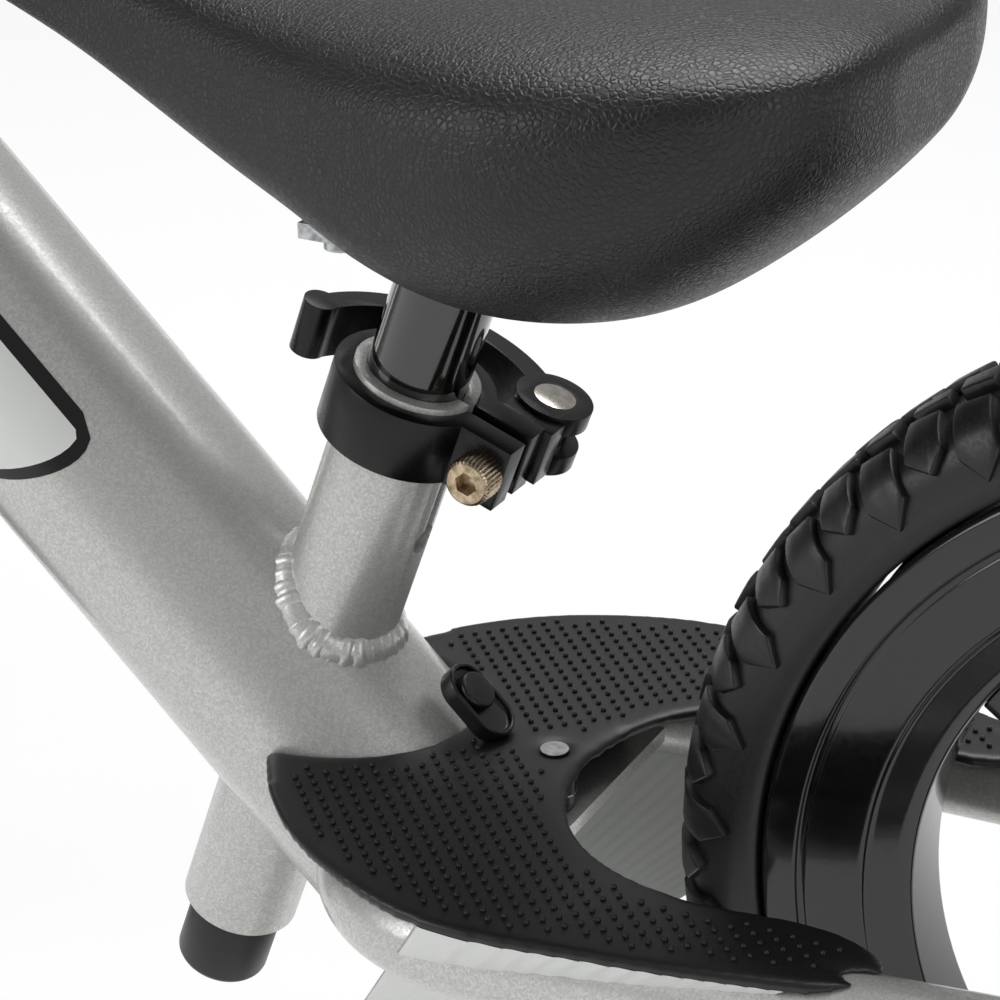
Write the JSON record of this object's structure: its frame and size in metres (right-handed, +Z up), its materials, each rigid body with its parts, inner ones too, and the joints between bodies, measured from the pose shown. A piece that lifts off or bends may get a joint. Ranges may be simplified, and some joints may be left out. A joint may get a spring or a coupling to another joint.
{
  "type": "balance bike",
  "caption": "Child's balance bike with an aluminium frame, foam tyres, a horseshoe footrest, and a seat and bar on quick-release clamps.",
  "frame": {"origin": "on the ground, midway between the two axles in the bike's middle plane", "axes": "+X towards the front wheel, +Y to the rider's left, +Z up"},
  "size_m": [0.86, 0.428, 0.5475],
  "materials": {
    "silver_paint": "silver pearl powder coat on aluminium tube",
    "bare_weld": "painted weld bead",
    "black_anodised": "satin black anodised",
    "black_gloss_tube": "gloss black enamel",
    "nickel_steel": "nickel plated steel",
    "bright_steel": "zinc plated steel",
    "footrest_plastic": "satin moulded plastic with raised dots",
    "plug_rubber": "moulded rubber",
    "rim_plastic": "gloss moulded nylon",
    "tyre_foam": "moulded foam tyre",
    "saddle_skin": "grained integral-skin foam",
    "core_plastic": "moulded plastic",
    "grip_rubber": "ribbed rubber",
    "pad_foam": "foam pad in a woven cover"
  },
  "bodies": {
    "frame": {"main_tube": "silver_paint", "seat_tube": "silver_paint", "seat_weld": "bare_weld", "head_tube": "silver_paint", "left_stay": "silver_paint", "right_stay": "silver_paint", "stay_bridge": "silver_paint", "left_rear_dropout": "silver_paint", "right_rear_dropout": "silver_paint", "footrest_plate": "footrest_plastic", "footrest_plug": "plug_rubber", "footrest_button": "plug_rubber", "footrest_screw": "bright_steel", "headset_lower_cup": "black_anodised", "headset_upper_cup": "black_anodised", "rear_axle": "bright_steel", "rear_spacers": "black_anodised", "rear_axle_nuts": "bright_steel", "seat_collar": "black_anodised", "seat_clamp_bolt": "nickel_steel", "seat_lever_pin": "bright_steel", "seat_cup_washer": "black_anodised"},
    "rear_wheel": {"rear_tyre": "tyre_foam", "rear_rim": "rim_plastic", "rear_spokes": "rim_plastic", "rear_hub": "rim_plastic", "rear_hub_bearings": "bright_steel"},
    "seat": {"seat_post": "black_gloss_tube", "seat_post_plug": "core_plastic", "seat_post_plate": "bright_steel", "saddle_bolts": "bright_steel", "saddle_base": "core_plastic", "saddle_cushion": "saddle_skin"},
    "seat_lever": {"seat_cam_lever": "black_anodised"},
    "fork": {"steerer": "bright_steel", "fork_crown": "silver_paint", "left_fork_leg": "silver_paint", "right_fork_leg": "silver_paint", "left_fork_dropout": "silver_paint", "right_fork_dropout": "silver_paint", "headset_cap": "black_anodised", "headset_lower_bearing": "bright_steel", "headset_upper_bearing": "bright_steel", "front_axle": "bright_steel", "front_spacers": "black_anodised", "front_axle_nuts": "bright_steel", "bar_collar": "black_anodised", "bar_clamp_bolt": "nickel_steel", "bar_lever_pin": "bright_steel", "bar_cup_washer": "black_anodised"},
    "front_wheel": {"front_tyre": "tyre_foam", "front_rim": "rim_plastic", "front_spokes": "rim_plastic", "front_hub": "rim_plastic", "front_hub_bearings": "bright_steel"},
    "bar": {"handlebar_post": "black_gloss_tube", "handlebar": "black_gloss_tube", "left_grip": "grip_rubber", "right_grip": "grip_rubber", "bar_pad": "pad_foam"},
    "bar_lever": {"bar_cam_lever": "black_anodised"}
  },
  "joints": [
    {"name": "rear_wheel_spin", "type": "hinge", "parent": "frame", "child": "rear_wheel", "pos_m": [-0.28, 0, 0.15], "axis": [0, 1, 0], "continuous": true},
    {"name": "steering", "type": "hinge", "parent": "frame", "child": "fork", "pos_m": [0.26146, 0, 0.14251], "axis": [-0.3746, 0, 0.9272], "range_deg": [-47, 47]},
    {"name": "front_wheel_spin", "type": "hinge", "parent": "fork", "child": "front_wheel", "pos_m": [0.28, 0, 0.15], "axis": [0, 1, 0], "continuous": true},
    {"name": "seat_height", "type": "slide", "parent": "frame", "child": "seat", "axis": [-0.342, 0, 0.9397], "range_m": [0, 0.09]},
    {"name": "seat_lever_turn", "type": "hinge", "parent": "frame", "child": "seat_lever", "pos_m": [-0.07673, -0.02385, 0.22882], "axis": [-0.342, 0, 0.9397], "range_deg": [-120, 0]},
    {"name": "bar_height", "type": "slide", "parent": "fork", "child": "bar", "axis": [-0.3746, 0, 0.9272], "range_m": [-0.03, 0.05]},
    {"name": "bar_lever_turn", "type": "hinge", "parent": "fork", "child": "bar_lever", "pos_m": [0.13254, -0.02385, 0.39791], "axis": [-0.3746, 0, 0.9272], "range_deg": [-120, 0]}
  ]
}
